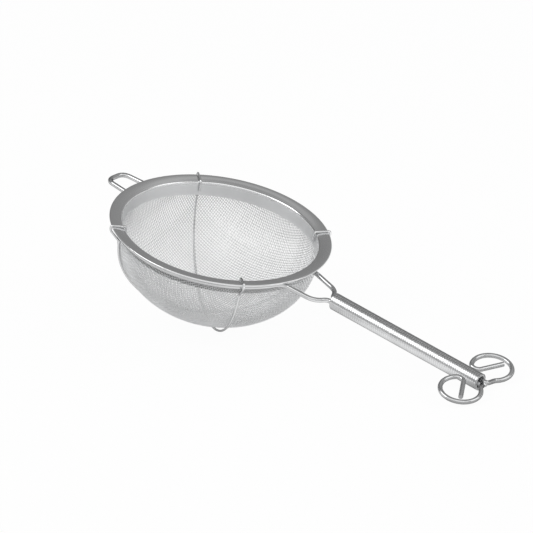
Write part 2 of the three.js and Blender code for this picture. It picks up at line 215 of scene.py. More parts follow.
class GripSizes(bpy.types.PropertyGroup):
    """The sprung grip and the wedge pin at its end."""

    drop: length("Drop", "Depth of the grip's axis below the flange", 0.0074)
    diameter: length("Diameter", "Outer diameter of the grip", 0.0142)
    wire: length("Wire", "Thickness of the grip's wire", 0.0018)
    width: length("Width", "Width of the grip's wire", 0.00225)
    flatness: plain("Flatness", "How flat the wire is rolled: 2 is round", 12)
    pitch: length("Pitch", "Distance from turn to turn", 0.00225)
    face: length("Face", "Straight run of the legs past each end", 0.0012)
    turns: IntProperty(name="Turns", description="Number of turns", default=70, min=1)
    pin_stem: length("Pin stem", "Length of the pin between the legs", 0.014)
    pin_head: length("Pin head", "Diameter of the pin's head", 0.0034)
    pin_reach: length("Pin reach", "How far the pin stands out of the grip", 0.006)
    pin_flare: length("Pin flare", "Length of the pin's taper", 0.003)
    pin_edge: length("Pin edge", "Rounding of the pin's end", 0.0008)


class RingSizes(bpy.types.PropertyGroup):
    """What the two finger rings share."""

    radius: length("Radius", "Radius of a ring along its middle", 0.0168)
    offset: length("Offset", "Distance of a ring's middle from the handle's line", 0.0264)
    pitch: angle("Pitch", "Slope of the rings along the handle", 3.9)
    roll: angle("Roll", "Slope of the rings across the handle", 7.6)
    close: angle("Close", "Where a ring turns into its hook", 212)
    hook: length("Hook", "Radius of the hook", 0.0056)
    tail: length("Tail", "Length of the straight tail across a ring", 0.0205)


class BraceSizes(bpy.types.PropertyGroup):
    """The two brace wires."""

    diameter: length("Diameter", "Diameter of a brace wire", 0.0018)
    bend: length("Bend", "Ease of the hooks' corners", 0.0022)
    tuck: length("Tuck", "How far a hook reaches down inside the collar", 0.009)
    drop: length("Drop", "Where a hook turns in under the hem", 0.0032)
    lower: angle("Lower", "Direction of the lower wire", -37.3)
    upper: angle("Upper", "Direction of the upper wire", 54)


class Finishes(bpy.types.PropertyGroup):
    """Colours and gloss of the steel."""

    # The band's colour is far darker than the sheet's: painted shade for the flange that overhangs it
    band: colour("Band", "Colour of the dull clamp band", (0.50, 0.505, 0.51))
    sheet: colour("Sheet", "Colour of the polished sheet", (0.87, 0.875, 0.88))
    # The rod's colour is set lower, partly painted shade for the stretch of rod in the flange's shadow
    rod: colour("Rod", "Colour of the rod", (0.71, 0.715, 0.72))
    # The brace wires' colour is a lighter copy of the drawn steel: painted light for where they show
    # through the cloth
    brace: colour("Brace", "Colour of the brace wires", (0.88, 0.885, 0.89))
    grip: colour("Grip", "Colour of the grip's wire", (0.73, 0.735, 0.74))
    pin: colour("Pin", "Colour of the wedge pin", (0.90, 0.905, 0.91))
    cloth: colour("Cloth", "Colour of the wire cloth", (0.845, 0.85, 0.855))
    sheet_roughness: share("Sheet roughness", "Roughness of the polished sheet", 0.20)
    rod_roughness: share("Rod roughness", "Roughness of the drawn rod", 0.13)
    grip_roughness: share("Grip roughness", "Roughness of the grip's wire", 0.20)
    cloth_roughness: share("Cloth roughness", "Roughness of the wire cloth", 0.26)


class StageSettings(bpy.types.PropertyGroup):
    """Camera, lamps and cards."""

    azimuth: angle("Azimuth", "Turn of the camera round the level strainer", 35.8)
    elevation: angle("Elevation", "Height of the camera above the flange", 28.08)
    roll: angle("Roll", "Turn of the picture against the level strainer", -10.27)
    distance: length("Distance", "Distance of the camera", 18.0)
    image_size: plain("Image size", "Width of the picture in pixels", 533)
    rim_pixels: plain("Rim pixels", "Rim radius in pixels", 112.71)
    rim_x: plain("Rim x", "Rim centre in pixels from the left", 220.8)
    rim_y: plain("Rim y", "Rim centre in pixels from the top", 229.5)
    key: FloatProperty(name="Key", description="Power of the key lamp", default=6.2, unit="POWER")
    fill: FloatProperty(name="Fill", description="Power of the fill lamp", default=4, unit="POWER")
    room: share("Room", "Brightness of the room round the object", 0.8)
    card: share("Card", "Brightness of the cards behind and above the object", 0.31)
    front_card: share("Front card", "Brightness of the low card in front of the object", 0.56)


class StrainerSettings(bpy.types.PropertyGroup):
    """All settings of the strainer."""

    rim: PointerProperty(type=RimSizes)
    cloth: PointerProperty(type=ClothSizes)
    rod: PointerProperty(type=RodSizes)
    grip: PointerProperty(type=GripSizes)
    rings: PointerProperty(type=RingSizes)
    braces: PointerProperty(type=BraceSizes)
    finishes: PointerProperty(type=Finishes)
    stage: PointerProperty(type=StageSettings)


def derived(settings):
    """Sizes that follow from the settings."""
    rim, cloth, rod, grip = settings.rim, settings.cloth, settings.rod, settings.grip
    d = SimpleNamespace()
    d.collar_radius = rim.radius - rim.flange
    d.cloth_radius = d.collar_radius + rim.sheet + CLEARANCE + cloth.room / 2
    d.band_radius = d.cloth_radius + cloth.room / 2 + CLEARANCE
    d.rod_radius = rod.diameter / 2
    d.rod_ring = d.band_radius + rim.band + CLEARANCE + d.rod_radius
    d.leg_offset = rod.spread / 2
    d.grip_radius = (grip.diameter - grip.wire) / 2
    d.grip_start = d.rod_ring + rod.fork_length + rod.fork_mouth
    d.grip_end = d.grip_start + grip.turns * grip.pitch
    d.hem_under = -2 * rim.sheet
    return d


def level_to_rest(d):
    """Turns and lifts the level strainer onto the part's own seat."""
    down = Vector(SEAT["axis"])
    turn = Vector((0, 0, -1)).rotation_difference(down).to_matrix().to_4x4()
    seat = Vector(SEAT["pos_m"])
    level_seat = Vector((0, seat.y, d.hem_under))
    return Matrix.Translation(seat - turn @ level_seat) @ turn


def spread(first, last, steps):
    """Evenly spaced values from first to last."""
    return [first + (last - first) * i / steps for i in range(steps + 1)]


def ramp(value, first, last):
    """0 up to first, 1 from last on, and even between."""
    return min(1, max(0, (value - first) / (last - first)))


def arc(centre, radius, ex, ey, first, last, steps):
    """Points on a circular arc in the plane of ex and ey."""
    return [centre + radius * (math.cos(t) * ex + math.sin(t) * ey) for t in spread(first, last, steps)]


def bezier(controls, steps):
    """Points on the Bezier curve of the given control points."""
    points = []
    for t in spread(0, 1, steps):
        row = list(controls)
        while len(row) > 1:
            row = [a.lerp(b, t) for a, b in zip(row, row[1:])]
        points.append(row[0])
    return points


def eased(corners, eases, steps):
    """Straight runs through the corners, each inner corner eased over its own length."""
    points = [corners[0]]
    for before, corner, after, ease in zip(corners, corners[1:], corners[2:], eases):
        enter = corner + (before - corner).normalized() * ease
        leave = corner + (after - corner).normalized() * ease
        points += bezier([enter, corner, leave], steps)
    return points + [corners[-1]]


def without_repeats(points):
    """The points with each one that repeats its forerunner left out."""
    kept = [points[0]]
    for point in points[1:]:
        if (point - kept[-1]).length > SAME_POINT:
            kept.append(point)
    return kept


def settle(piece, node, material):
    """Links a finished piece in place of its solid."""
    bpy.context.collection.objects.link(piece)
    piece.data.materials.append(material)
    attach(piece, BODY)
    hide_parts(node)
    return piece


def wires(name, paths, diameter, roundness, place):
    """A curve object of round wires along the given paths."""
    curve = bpy.data.curves.new(name, "CURVE")
    curve.dimensions = "3D"
    curve.fill_mode = "FULL"
    curve.bevel_depth = diameter / 2
    curve.bevel_resolution = roundness
    curve.use_fill_caps = True
    for path in paths:
        spline = curve.splines.new("POLY")
        spline.points.add(len(path) - 1)
        points = np.ones((len(path), 4))
        points[:, :3] = path
        spline.points.foreach_set("co", points.ravel())
        spline.points.foreach_set("radius", np.ones(len(path)))
    curve.transform(place)
    return bpy.data.objects.new(name, curve)


def turned(name, profile, place):
    """A mesh object turned round the z axis from a closed profile of (radius, height) pairs."""
    form = bmesh.new()
    corners = [form.verts.new((r, 0, z)) for r, z in profile]
    edges = [form.edges.new(pair) for pair in zip(corners, corners[1:] + corners[:1])]
    bmesh.ops.spin(form, geom=corners + edges, cent=(0, 0, 0), axis=(0, 0, 1), angle=2 * math.pi,
                   steps=ROUND_STEPS, use_merge=True)
    bmesh.ops.remove_doubles(form, verts=form.verts, dist=1e-7)
    bmesh.ops.recalc_face_normals(form, faces=form.faces)
    form.transform(place)
    mesh = bpy.data.meshes.new(name)
    form.to_mesh(mesh)
    form.free()
    mesh.shade_smooth()
    mesh.set_sharp_from_angle(angle=SHEET_CREASE)
    return bpy.data.objects.new(name, mesh)


def profile_arc(r, z, radius, first, last, steps):
    """Points of a profile on an arc, its angles in degrees."""
    turns = [math.radians(t) for t in spread(first, last, steps)]
    return [(r + radius * math.cos(t), z + radius * math.sin(t)) for t in turns]


class Socket:
    """A shader socket. Sums on it add Math nodes to its tree."""

    def __init__(self, tree, source=None):
        self.tree = tree
        self.source = source

    def node(self, kind, settings, inputs, output=0):
        """Adds a node, sets it up, fills or links its inputs and gives one of its outputs."""
        added = self.tree.nodes.new(kind)
        for name, value in settings.items():
            if name == "stops":
                self._set_stops(added.color_ramp, value)
            else:
                setattr(added, name, value)
        for name, value in inputs.items():
            if isinstance(value, Socket):
                self.tree.links.new(value.source, added.inputs[name])
            else:
                added.inputs[name].default_value = value
        return Socket(self.tree, added.outputs[output] if added.outputs else None)

    @staticmethod
    def _set_stops(gradient, stops):
        while len(gradient.elements) < len(stops):
            gradient.elements.new(1)
        for element, (place, shade) in zip(gradient.elements, stops):
            element.position = place
            element.color = (*shade, 1)

    def _math(self, operation, first, second):
        return self.node("ShaderNodeMath", {"operation": operation}, {0: first, 1: second})

    def __add__(self, other):
        return self._math("ADD", self, other)

    def __radd__(self, other):
        return self._math("ADD", other, self)

    def __sub__(self, other):
        return self._math("SUBTRACT", self, other)

    def __rsub__(self, other):
        return self._math("SUBTRACT", other, self)

    def __mul__(self, other):
        return self._math("MULTIPLY", self, other)

    def __rmul__(self, other):
        return self._math("MULTIPLY", other, self)

    def largest(self, other):
        """The larger of two values."""
        return self._math("MAXIMUM", self, other)


def new_material(name):
    """An empty node material and a socket to start from."""
    material = bpy.data.materials.new(name)
    material.use_nodes = True
    material.node_tree.nodes.clear()
    return material, Socket(material.node_tree)


def level_place(start, place):
    """Texture coordinates of the level strainer."""
    coordinates = start.node("ShaderNodeTexCoord", {}, {}, "Object")
    return start.node("ShaderNodeMapping", {"vector_type": "TEXTURE"}, {
        "Vector": coordinates,
        "Location": place.to_translation(),
        "Rotation": place.to_euler(),
    })


def noise(start, vector, scale, detail):
    """Soft noise from 0 to 1."""
    return start.node("ShaderNodeTexNoise", {}, {
        "Vector": vector, "Scale": scale, "Detail": detail, "Roughness": 0.55,
    }, "Fac")


def steel_shader(start, base, shade, contrast, roughness, relief, depth, edge=1, painted_shade=1, metal=1.0):
    """A steel surface.

    The shade moves its colour about the base by the contrast, and at 0 down by the painted shade
    as well, a darker colour that stands in for shadow. The relief is a bump of the given depth. The
    edge dims it where it turns away from the eye.
    """
    painted_shade_tint = [c * painted_shade * (1 - contrast) for c in base]
    darker = [c * (1 - contrast) for c in base]
    lighter = [min(1, c * (1 + contrast)) for c in base]
    stops = list(zip(SHADE_STOPS, (painted_shade_tint, darker, lighter)))
    tint = start.node("ShaderNodeValToRGB", {"stops": stops}, {"Fac": shade}, "Color")
    normal = start.node("ShaderNodeBump", {}, {
        "Strength": 1.0, "Distance": depth, "Height": relief,
    }, "Normal")
    surface = start.node("ShaderNodeBsdfPrincipled", {}, {
        "Base Color": tint, "Metallic": metal, "Roughness": roughness, "Normal": normal,
        "Specular Tint": (edge, edge, edge, 1),
    })
    start.node("ShaderNodeOutputMaterial", {}, {"Surface": surface})


def polished_sheet(finishes, place, back_radius):
    """Pressed sheet: polishing lines run round the rim, the collar is satin, and the collar's back,
    under the flange and behind the cloth, is darkened with painted shade.
    """
    material, start = new_material("polished_sheet")
    level = level_place(start, place)
    flat = start.node("ShaderNodeVectorMath", {"operation": "MULTIPLY"}, {0: level, 1: (1, 1, 0)})
    out = start.node("ShaderNodeVectorMath", {"operation": "LENGTH"}, {0: flat}, "Value")
    height = start.node("ShaderNodeSeparateXYZ", {}, {"Vector": level}, "Z")
    around = start.node("ShaderNodeCombineXYZ", {}, {
        "X": out * POLISH_FINENESS, "Y": height * POLISH_FINENESS, "Z": 0.0,
    })
    lines = noise(start, around, scale=90, detail=3)
    clouds = noise(start, level, scale=20, detail=2)
    satin = start.node("ShaderNodeMath", {"operation": "LESS_THAN"}, {0: height, 1: -POLISH_DEPTH})
    # the collar's back, under the flange and behind the cloth, where the sheet's colour is darkened with
    # painted shade
    behind = start.node("ShaderNodeMath", {"operation": "GREATER_THAN"}, {0: out, 1: back_radius})
    smoothest = finishes.sheet_roughness - LINE_ROUGHNESS
    roughness = smoothest + LINE_ROUGHNESS * lines - CLOUD_GLOSS * clouds + SATIN_ROUGHNESS * satin
    # painted shade: on the collar's back behind the cloth the colour drops to its darkest stop
    shade = clouds * (1 - satin * behind)
    steel_shader(start, finishes.sheet, shade, contrast=0.04, roughness=roughness,
                 relief=lines, depth=0.000008, painted_shade=PAINTED_SHADE_BEHIND_CLOTH)
    return material


def band_with_painted_shade(finishes, place):
    """Clamp band: its unpolished strip is rougher, and its colour is darkened with painted shade from
    the flange over it.
    """
    material, start = new_material("band_with_painted_shade")
    level = level_place(start, place)
    stains = noise(start, level, scale=70, detail=4)
    roughness = finishes.sheet_roughness + BAND_ROUGHNESS + STAIN_ROUGHNESS * stains
    steel_shader(start, finishes.band, stains, contrast=0.14, roughness=roughness,
                 relief=stains, depth=0.00003)
    return material


def drawn_steel(start, level, base, roughness, edge, metal=1.0):
    """Bright drawn steel with faint die marks and handling haze."""
    haze = noise(start, level, scale=60, detail=3)
    marks = noise(start, level, scale=900, detail=2)
    steel_shader(start, base, haze, contrast=0.08, roughness=roughness + HAZE_ROUGHNESS * haze,
                 relief=marks, depth=0.00001, edge=edge, metal=metal)


def drawn_rod(name, base, roughness, edge, place):
    """A rod or wire of drawn steel."""
    material, start = new_material(name)
    drawn_steel(start, level_place(start, place), base, roughness, edge)
    return material


def wound_wire(finishes, place, drop, inner_radius):
    """The grip's wire: bright outside, worn dull inside the winding."""
    material, start = new_material("wound_wire")
    level = level_place(start, place)
    off_axis = start.node("ShaderNodeVectorMath", {"operation": "MULTIPLY_ADD"}, {
        0: level, 1: (0, 1, 1), 2: (0, 0, drop),
    })
    out = start.node("ShaderNodeVectorMath", {"operation": "LENGTH"}, {0: off_axis}, "Value")
    inside = start.node("ShaderNodeMath", {"operation": "LESS_THAN"}, {0: out, 1: inner_radius})
    roughness = finishes.grip_roughness + INSIDE_ROUGHNESS * inside
    metal = 1 - INSIDE_DULLNESS * inside
    drawn_steel(start, level, finishes.grip, roughness, ROD_EDGE, metal)
    return material


def woven_wire(finishes, place):
    """Satin wire of the cloth."""
    material, start = new_material("woven_wire")
    level = level_place(start, place)
    patches = noise(start, level, scale=30, detail=3)
    grain = noise(start, level, scale=1500, detail=1)
    roughness = finishes.cloth_roughness + PATCH_ROUGHNESS * patches
    steel_shader(start, finishes.cloth, patches, contrast=0.10, roughness=roughness,
                 relief=grain, depth=0.00001)
    return material


def shown_rays(start):
    """1 for rays that show the background: the camera's, and those off metal or through glass."""
    rays = {name: start.node("ShaderNodeLightPath", {}, {}, name)
            for name in ("Is Camera Ray", "Is Glossy Ray", "Is Transmission Ray")}
    return rays["Is Camera Ray"].largest(rays["Is Glossy Ray"]).largest(rays["Is Transmission Ray"])


def rim_profile(rim, d):
    """Collar, lip, dished flange and folded hem, as a closed profile."""
    lip_top = d.collar_radius + rim.lip
    lip_height = -rim.rise - rim.lip
    hem_top = rim.radius - rim.sheet
    hem_inner = rim.radius - rim.hem
    slope = rim.rise / (hem_top - lip_top)
    hem_ceiling = -rim.rise + (hem_inner - lip_top) * slope - rim.sheet
    edge = rim.sheet / 4
    collar_foot = -rim.collar + edge
    crown = [(lip_top + t * (hem_top - lip_top), rim.rise * (t - 1) + 4 * rim.crown * t * (1 - t))
             for t in spread(0.1, 0.9, steps=8)]
    turned_in = [(d.collar_radius - rim.turn_in * (1 - t) ** 2,
                  collar_foot + t * TURN_IN_RUN * rim.turn_in)
                 for t in spread(0, 1, steps=6)]
    return [
        *turned_in,
        *profile_arc(lip_top, lip_height, rim.lip, first=180, last=90, steps=8),
        *crown,
        *profile_arc(hem_top, -rim.sheet, rim.sheet, first=90, last=-90, steps=12),
        (hem_inner, d.hem_under),
        (hem_inner, hem_ceiling),
        *profile_arc(lip_top, lip_height, rim.lip - rim.sheet, first=90, last=180, steps=6),
        (d.collar_radius + rim.sheet, collar_foot),
        (d.collar_radius + rim.sheet - edge, -rim.collar),
        (d.collar_radius - rim.turn_in + edge, -rim.collar),
    ]


def band_profile(rim, cloth, d):
    """The clamp band's closed profile, its edges broken."""
    top = cloth.tuck - rim.collar
    bottom = top - rim.band_height
    outer = d.band_radius + rim.band
    edge = rim.band / 3
    return [
        (d.band_radius, bottom),
        (outer - edge, bottom),
        (outer, bottom + edge),
        (outer, top - edge),
        (outer - edge, top),
        (d.band_radius, top),
    ]


def meridian(cloth, rim, d):
    """The bowl's outline from its pole up to the tucked edge: distance along it, radius, height."""
    turns = np.linspace(-math.pi / 2, 0, MERIDIAN_POINTS)
    radius = d.cloth_radius * np.cos(turns)
    height = cloth.depth * np.sin(turns) - rim.collar
    radius = np.append(radius, d.cloth_radius)
    height = np.append(height, cloth.tuck - rim.collar)
    along = np.concatenate([[0], np.cumsum(np.hypot(np.diff(radius), np.diff(height)))])
    return along, radius, height


def woven_paths(settings, d):
    """The cloth's wires: a round piece of plain weave pressed onto the bowl, from its pole outward."""
    cloth = settings.cloth
    along, radius, height = meridian(cloth, settings.rim, d)
    slope_r = np.gradient(radius, along)
    slope_z = np.gradient(height, along)
    reach = along[-1]
    count = int(reach / cloth.pitch)
    paths = []
    for crosswise in (False, True):
        lift = -cloth.wire / 2 if crosswise else cloth.wire / 2
        for i in range(-count, count + 1):
            across = i * cloth.pitch
            half = math.sqrt(reach ** 2 - across ** 2)
            steps = int(2 * half / cloth.pitch)
            if steps < 2:
                continue
            run = np.arange(-steps, steps + 1) * cloth.pitch / 2
            wave = lift * np.cos(math.pi * (run / cloth.pitch + i))
            side = np.full_like(run, across)
            x, y = (side, run) if crosswise else (run, side)
            out = np.hypot(x, y)
            turn = np.arctan2(y, x) + cloth.turn
            tilt_r = np.interp(out, along, slope_r)
            tilt_z = np.interp(out, along, slope_z)
            r = np.interp(out, along, radius) - wave * tilt_z
            z = np.interp(out, along, height) + wave * tilt_r
            paths.append(np.column_stack([r * np.cos(turn), r * np.sin(turn), z]))
    return paths


def rod_half(settings, d, ring):
    """Half of the frame rod, from the middle of the ear to the end of a finger ring's tail."""
    rod, grip, rings = settings.rod, settings.grip, settings.rings

    def at(x, y, z):
        return Vector((x, ring.side * y, z))

    ex = at(1, 0, 0)
    ey = at(0, 1, 0)
    level = -rod.drop

    ear_side = rod.ear_foot / 2 + rod.ear_foot_bend
    ear_turn = math.asin(ear_side / (d.rod_ring + rod.ear_foot_bend))
    ear_middle = at(-(d.rod_ring + rod.ear_foot_bend) * math.cos(ear_turn), ear_side, level)
    ear_tip = -d.rod_ring - rod.ear_length
    ear_foot = at(ear_middle.x, rod.ear_foot / 2, level)
    ear = [at(ear_tip, 0, level), at(ear_tip, rod.ear_tip / 2, level), ear_foot]

    fork_side = rod.fork_foot / 2 + rod.fork_foot_bend
    fork_turn = math.asin(fork_side / (d.rod_ring + rod.fork_foot_bend))
    fork_middle = at((d.rod_ring + rod.fork_foot_bend) * math.cos(fork_turn), fork_side, level)
    mouth = d.grip_start - grip.face - rod.fork_mouth_bend
    leg_end = at(d.grip_end + grip.face, d.leg_offset, -grip.drop)
    fork = [
        at(fork_middle.x, rod.fork_foot / 2, level),
        at(d.rod_ring + rod.fork_length, rod.fork_shoulder / 2, -grip.drop),
        at(mouth, d.leg_offset, -grip.drop),
        leg_end,
    ]

    ring_x = Vector((math.cos(rings.pitch), 0, -math.sin(rings.pitch)))
    ring_y = ring.side * Vector((0, math.cos(rings.roll), math.sin(rings.roll)))
    centre = at(d.grip_end + ring.ahead, rings.offset, -ring.drop)
    entry = math.radians(ring.entry)
    loop = arc(centre, rings.radius, ring_x, ring_y, entry, rings.close, LOOP_STEPS)
    entry_run = math.cos(entry) * ring_y - math.sin(entry) * ring_x
    lead = [leg_end, leg_end + ring.sweep * ex, loop[0] - ring.sweep * entry_run, loop[0]]

    turn_in = math.cos(rings.close) * ring_x + math.sin(rings.close) * ring_y
    hook_end = rings.close + math.radians(ring.hook_turn)
    hook_middle = centre + (rings.radius - rings.hook) * turn_in
    hook = arc(hook_middle, rings.hook, ring_x, ring_y, rings.close, hook_end, 2 * BEND_STEPS)
    tail_run = math.cos(hook_end) * ring_y - math.sin(hook_end) * ring_x

    return without_repeats([
        *eased(ear, [rod.ear_tip_bend], BEND_STEPS),
        *arc(ear_middle, rod.ear_foot_bend, ex, ey, -math.pi / 2, -ear_turn, BEND_STEPS),
        *arc(at(0, 0, level), d.rod_ring, ex, ey, math.pi - ear_turn, fork_turn, HOOP_STEPS),
        *arc(fork_middle, rod.fork_foot_bend, ex, ey, fork_turn - math.pi, -math.pi / 2, BEND_STEPS),
        *eased(fork, [rod.fork_shoulder_bend, rod.fork_mouth_bend], BEND_STEPS),
        *bezier(lead, BEND_STEPS),
        *loop,
        *hook,
        hook[-1] + rings.tail * tail_run,
    ])


def wound_grip(grip, d, place):
    """A mesh object of the grip: one wire, rolled flat, wound close on a helix."""
    per_turn = 40
    corners = 20
    round_the_wire = np.linspace(0, 2 * math.pi, corners, endpoint=False)
    flat = 2 / grip.flatness

    def swell(value):
        return np.sign(value) * np.abs(value) ** flat

    along = grip.width / 2 * swell(np.cos(round_the_wire))
    out = grip.wire / 2 * swell(np.sin(round_the_wire))
    turn = np.linspace(0, 2 * math.pi * grip.turns, grip.turns * per_turn + 1)[:, None]
    x = d.grip_start + grip.pitch * turn / (2 * math.pi) + along
    y = (d.grip_radius + out) * np.cos(turn)
    z = (d.grip_radius + out) * np.sin(turn) - grip.drop
    points = np.stack([x, y, z], axis=-1).reshape(-1, 3)
    rings = len(turn)
    faces = [tuple(range(corners)), tuple(reversed(range((rings - 1) * corners, rings * corners)))]
    for here in range(0, (rings - 1) * corners, corners):
        ahead = here + corners
        for j in range(corners):
            k = (j + 1) % corners
            faces.append((here + k, here + j, ahead + j, ahead + k))
    mesh = bpy.data.meshes.new("grip_piece")
    mesh.from_pydata(points.tolist(), [], faces)
    mesh.transform(place)
    mesh.shade_smooth()
    mesh.set_sharp_from_angle(angle=GRIP_CREASE)
    return bpy.data.objects.new("grip_piece", mesh)


def brace_path(settings, d, direction, extra_drop):
    """A brace wire, hooked over the flange at both ends and drawn tight under the bowl."""
    rim, cloth, braces = settings.rim, settings.cloth, settings.braces
    away = CLEARANCE + braces.diameter / 2
    inner = d.collar_radius - away
    outer = rim.radius + away
    wide = d.cloth_radius + cloth.room / 2 + away
    deep = cloth.depth + cloth.room / 2 + away + extra_drop
    outward = Vector((math.cos(direction), math.sin(direction), 0))
    upward = Vector((0, 0, 1))
    knee = wide + CLEARANCE
    touch = -math.acos(wide / knee)
    sling = arc(-rim.collar * upward, 1, wide * outward, deep * upward, touch, -math.pi - touch,
                HOOP_STEPS)

    def hook(sign):
        side = sign * outward
        return [
            inner * side - braces.tuck * upward,
            inner * side + (away - rim.rise) * upward,
            outer * side + away * upward,
            outer * side - braces.drop * upward,
            knee * side - rim.collar * upward,
            sling[0] if sign > 0 else sling[-1],
        ]

    eases = [braces.bend, braces.bend, braces.bend, braces.bend / 2]
    first = eased(hook(1), eases, BEND_STEPS)
    last = eased(hook(-1), eases, BEND_STEPS)
    return without_repeats(first + sling + last[::-1])


def pin_profile(grip, d):
    """The wedge pin's closed profile, with its axis upright."""
    stem = d.leg_offset - d.rod_radius - CLEARANCE
    head = grip.pin_head / 2
    return [
        (0, -grip.pin_stem),
        (stem * PIN_TIP, -grip.pin_stem),
        (stem, stem - grip.pin_stem),
        (stem, grip.face),
        (head, grip.face + grip.pin_flare),
        *profile_arc(head - grip.pin_edge, grip.pin_reach - grip.pin_edge, grip.pin_edge,
                     first=0, last=90, steps=6),
        (0, grip.pin_reach),
    ]


class StrainerOperator:
    """What the operators share: the settings, the sizes that follow and the rest matrix."""

    bl_options = {"REGISTER", "UNDO"}

    def execute(self, context):
        settings = context.scene.strainer
        d = derived(settings)
        self.build(settings, d, level_to_rest(d))
        return {"FINISHED"}


class STRAINER_OT_rim(StrainerOperator, bpy.types.Operator):
    """Turn the rim ring and the clamp band"""

    bl_idname = "strainer.rim"
    bl_label = "Rim and Band"

    def build(self, settings, d, place):
        sheet = polished_sheet(settings.finishes, place, d.collar_radius + settings.rim.sheet / 2)
        rim = turned("rim_piece", rim_profile(settings.rim, d), place)
        settle(rim, "rim_ring", sheet)
        band = turned("band_piece", band_profile(settings.rim, settings.cloth, d), place)
        settle(band, "clamp_band", band_with_painted_shade(settings.finishes, place))


class STRAINER_OT_cloth(StrainerOperator, bpy.types.Operator):
    """Weave the wire cloth onto the bowl"""

    bl_idname = "strainer.cloth"
    bl_label = "Wire Cloth"

    def build(self, settings, d, place):
        paths = woven_paths(settings, d)
        cloth = wires("cloth_piece", paths, settings.cloth.wire, roundness=0, place=place)
        settle(cloth, "mesh_bowl", woven_wire(settings.finishes, place))


class STRAINER_OT_rods(StrainerOperator, bpy.types.Operator):
    """Bend the frame rod, the grip and the brace wires"""

    bl_idname = "strainer.rods"
    bl_label = "Rods and Wires"

    def build(self, settings, d, place):
        finishes = settings.finishes
        finish = drawn_rod("drawn_rod", finishes.rod, finishes.rod_roughness, ROD_EDGE, place)
        left, right = [rod_half(settings, d, ring) for ring in FINGER_RINGS]
        frame_path = without_repeats(right[::-1] + left)
        rod = wires("rod_piece", [frame_path], settings.rod.diameter, roundness=6, place=place)
        settle(rod, "frame_rod", finish)

        wound = wound_wire(finishes, place, settings.grip.drop, d.grip_radius)
        settle(wound_grip(settings.grip, d, place), "grip_coil", wound)

        braces = settings.braces
        brace_wire = drawn_rod("brace_wire", finishes.brace, finishes.rod_roughness, ROD_EDGE, place)
        below = braces.diameter + CLEARANCE
        for name, direction, extra in (("lower", braces.lower, below), ("upper", braces.upper, 0)):
            path = brace_path(settings, d, direction, extra)
            brace = wires(f"brace_{name}_piece", [path], braces.diameter, roundness=4, place=place)
            settle(brace, f"brace_{name}", brace_wire)


class STRAINER_OT_pin(StrainerOperator, bpy.types.Operator):
    """Turn the wedge pin at the grip's end"""

    bl_idname = "strainer.pin"
    bl_label = "Wedge Pin"

    def build(self, settings, d, place):
        grip, finishes = settings.grip, settings.finishes
        end = Matrix.Translation((d.grip_end, 0, -grip.drop))
        axis = end @ Matrix.Rotation(math.pi / 2, 4, "Y")
        pin = turned("pin_piece", pin_profile(grip, d), place @ axis)
        finish = drawn_rod("pin_steel", finishes.pin, finishes.rod_roughness, edge=1, place=place)
        settle(pin, "wedge_pin", finish)


def photo_axes(stage, place):
    """The camera's right, up and back in the part's frame."""
    a, e, r = stage.azimuth, stage.elevation, stage.roll
    back = Vector((math.sin(a) * math.cos(e), -math.cos(a) * math.cos(e), math.sin(e)))
    right = Vector((math.cos(a), math.sin(a), 0))
    up = back.cross(right)
    rolled_right = right * math.cos(r) - up * math.sin(r)
    rolled_up = right * math.sin(r) + up * math.cos(r)
    turn = place.to_3x3()
    return turn @ rolled_right, turn @ rolled_up, turn @ back


def add_camera(stage, rim, place):
    """A long lens at the photograph's angle. Gives its target and the direction back from there."""
    right, up, back = photo_axes(stage, place)
    pixel = rim.radius / stage.rim_pixels
    middle = stage.image_size / 2
    target = place.to_translation()
    target += right * (middle - stage.rim_x) * pixel
    target += up * (stage.rim_y - middle) * pixel
    lens = bpy.data.cameras.new("camera")
    lens.sensor_width = SENSOR
    lens.clip_end = 2 * stage.distance
    lens.lens = SENSOR * stage.distance / (stage.image_size * pixel)
    camera = bpy.data.objects.new("camera", lens)
    turn = Matrix((right, up, back)).transposed().to_4x4()
    camera.matrix_world = Matrix.Translation(target + back * stage.distance) @ turn
    bpy.context.collection.objects.link(camera)
    bpy.context.scene.camera = camera
    return target, back


def add_lamp(name, power, size, position, target):
    """A square soft lamp aimed at the target."""
    light = bpy.data.lights.new(name, "AREA")
    light.energy = power
    light.size = size
    lamp = bpy.data.objects.new(name, light)
    lamp.location = position
    lamp.rotation_euler = (target - position).to_track_quat("-Z", "Y").to_euler()
    lamp.visible_camera = False
    bpy.context.collection.objects.link(lamp)


def sky_point(centre, heading, reach, turn, height):
    """A point of the dome round the object: turn is from the heading, both in degrees."""
    around = heading + math.radians(turn)
    up = math.radians(height)
    ahead = Vector((math.sin(around), -math.cos(around), 0))
    return centre + reach * (math.cos(up) * ahead + math.sin(up) * Vector((0, 0, 1)))


def card_shade(turn, height):
    """How bright a dome card is: it changes round the dome, with one lighter stripe."""
    shade = CARD_LEVEL
    for slope in (BACK_SLOPE, SIDE_SLOPE):
        shade += slope.change * ramp(turn, slope.first, slope.last)
    return shade + STRIPE.change * math.exp(-((height - STRIPE.height) / STRIPE.width) ** 2)


def table_shade(x):
    """How bright the table looks to the steel: white by the grip, greyer by the bowl and the rings."""
    along = ramp(x, GRIP_LIGHT.start, GRIP_LIGHT.start + GRIP_LIGHT.fade)
    past = ramp(x, GRIP_LIGHT.end, GRIP_LIGHT.end + GRIP_LIGHT.fade)
    return TABLE_GREY + (1 - TABLE_GREY) * along - (1 - RINGS_GREY) * past


def card_places(across, along):
    """Pairs of values, row by row, at the corners of a card's cells."""
    return [(a, b) for b in spread(*along, CARD_CELLS) for a in spread(*across, CARD_CELLS)]


def dome_card(name, centre, heading, card, brightness):
    """A grey card, a patch of a dome."""
    places = card_places(card.turns, card.heights)
    points = [sky_point(centre, heading, CARD_REACH, *place) for place in places]
    add_card(name, points, [brightness * card_shade(*place) for place in places])


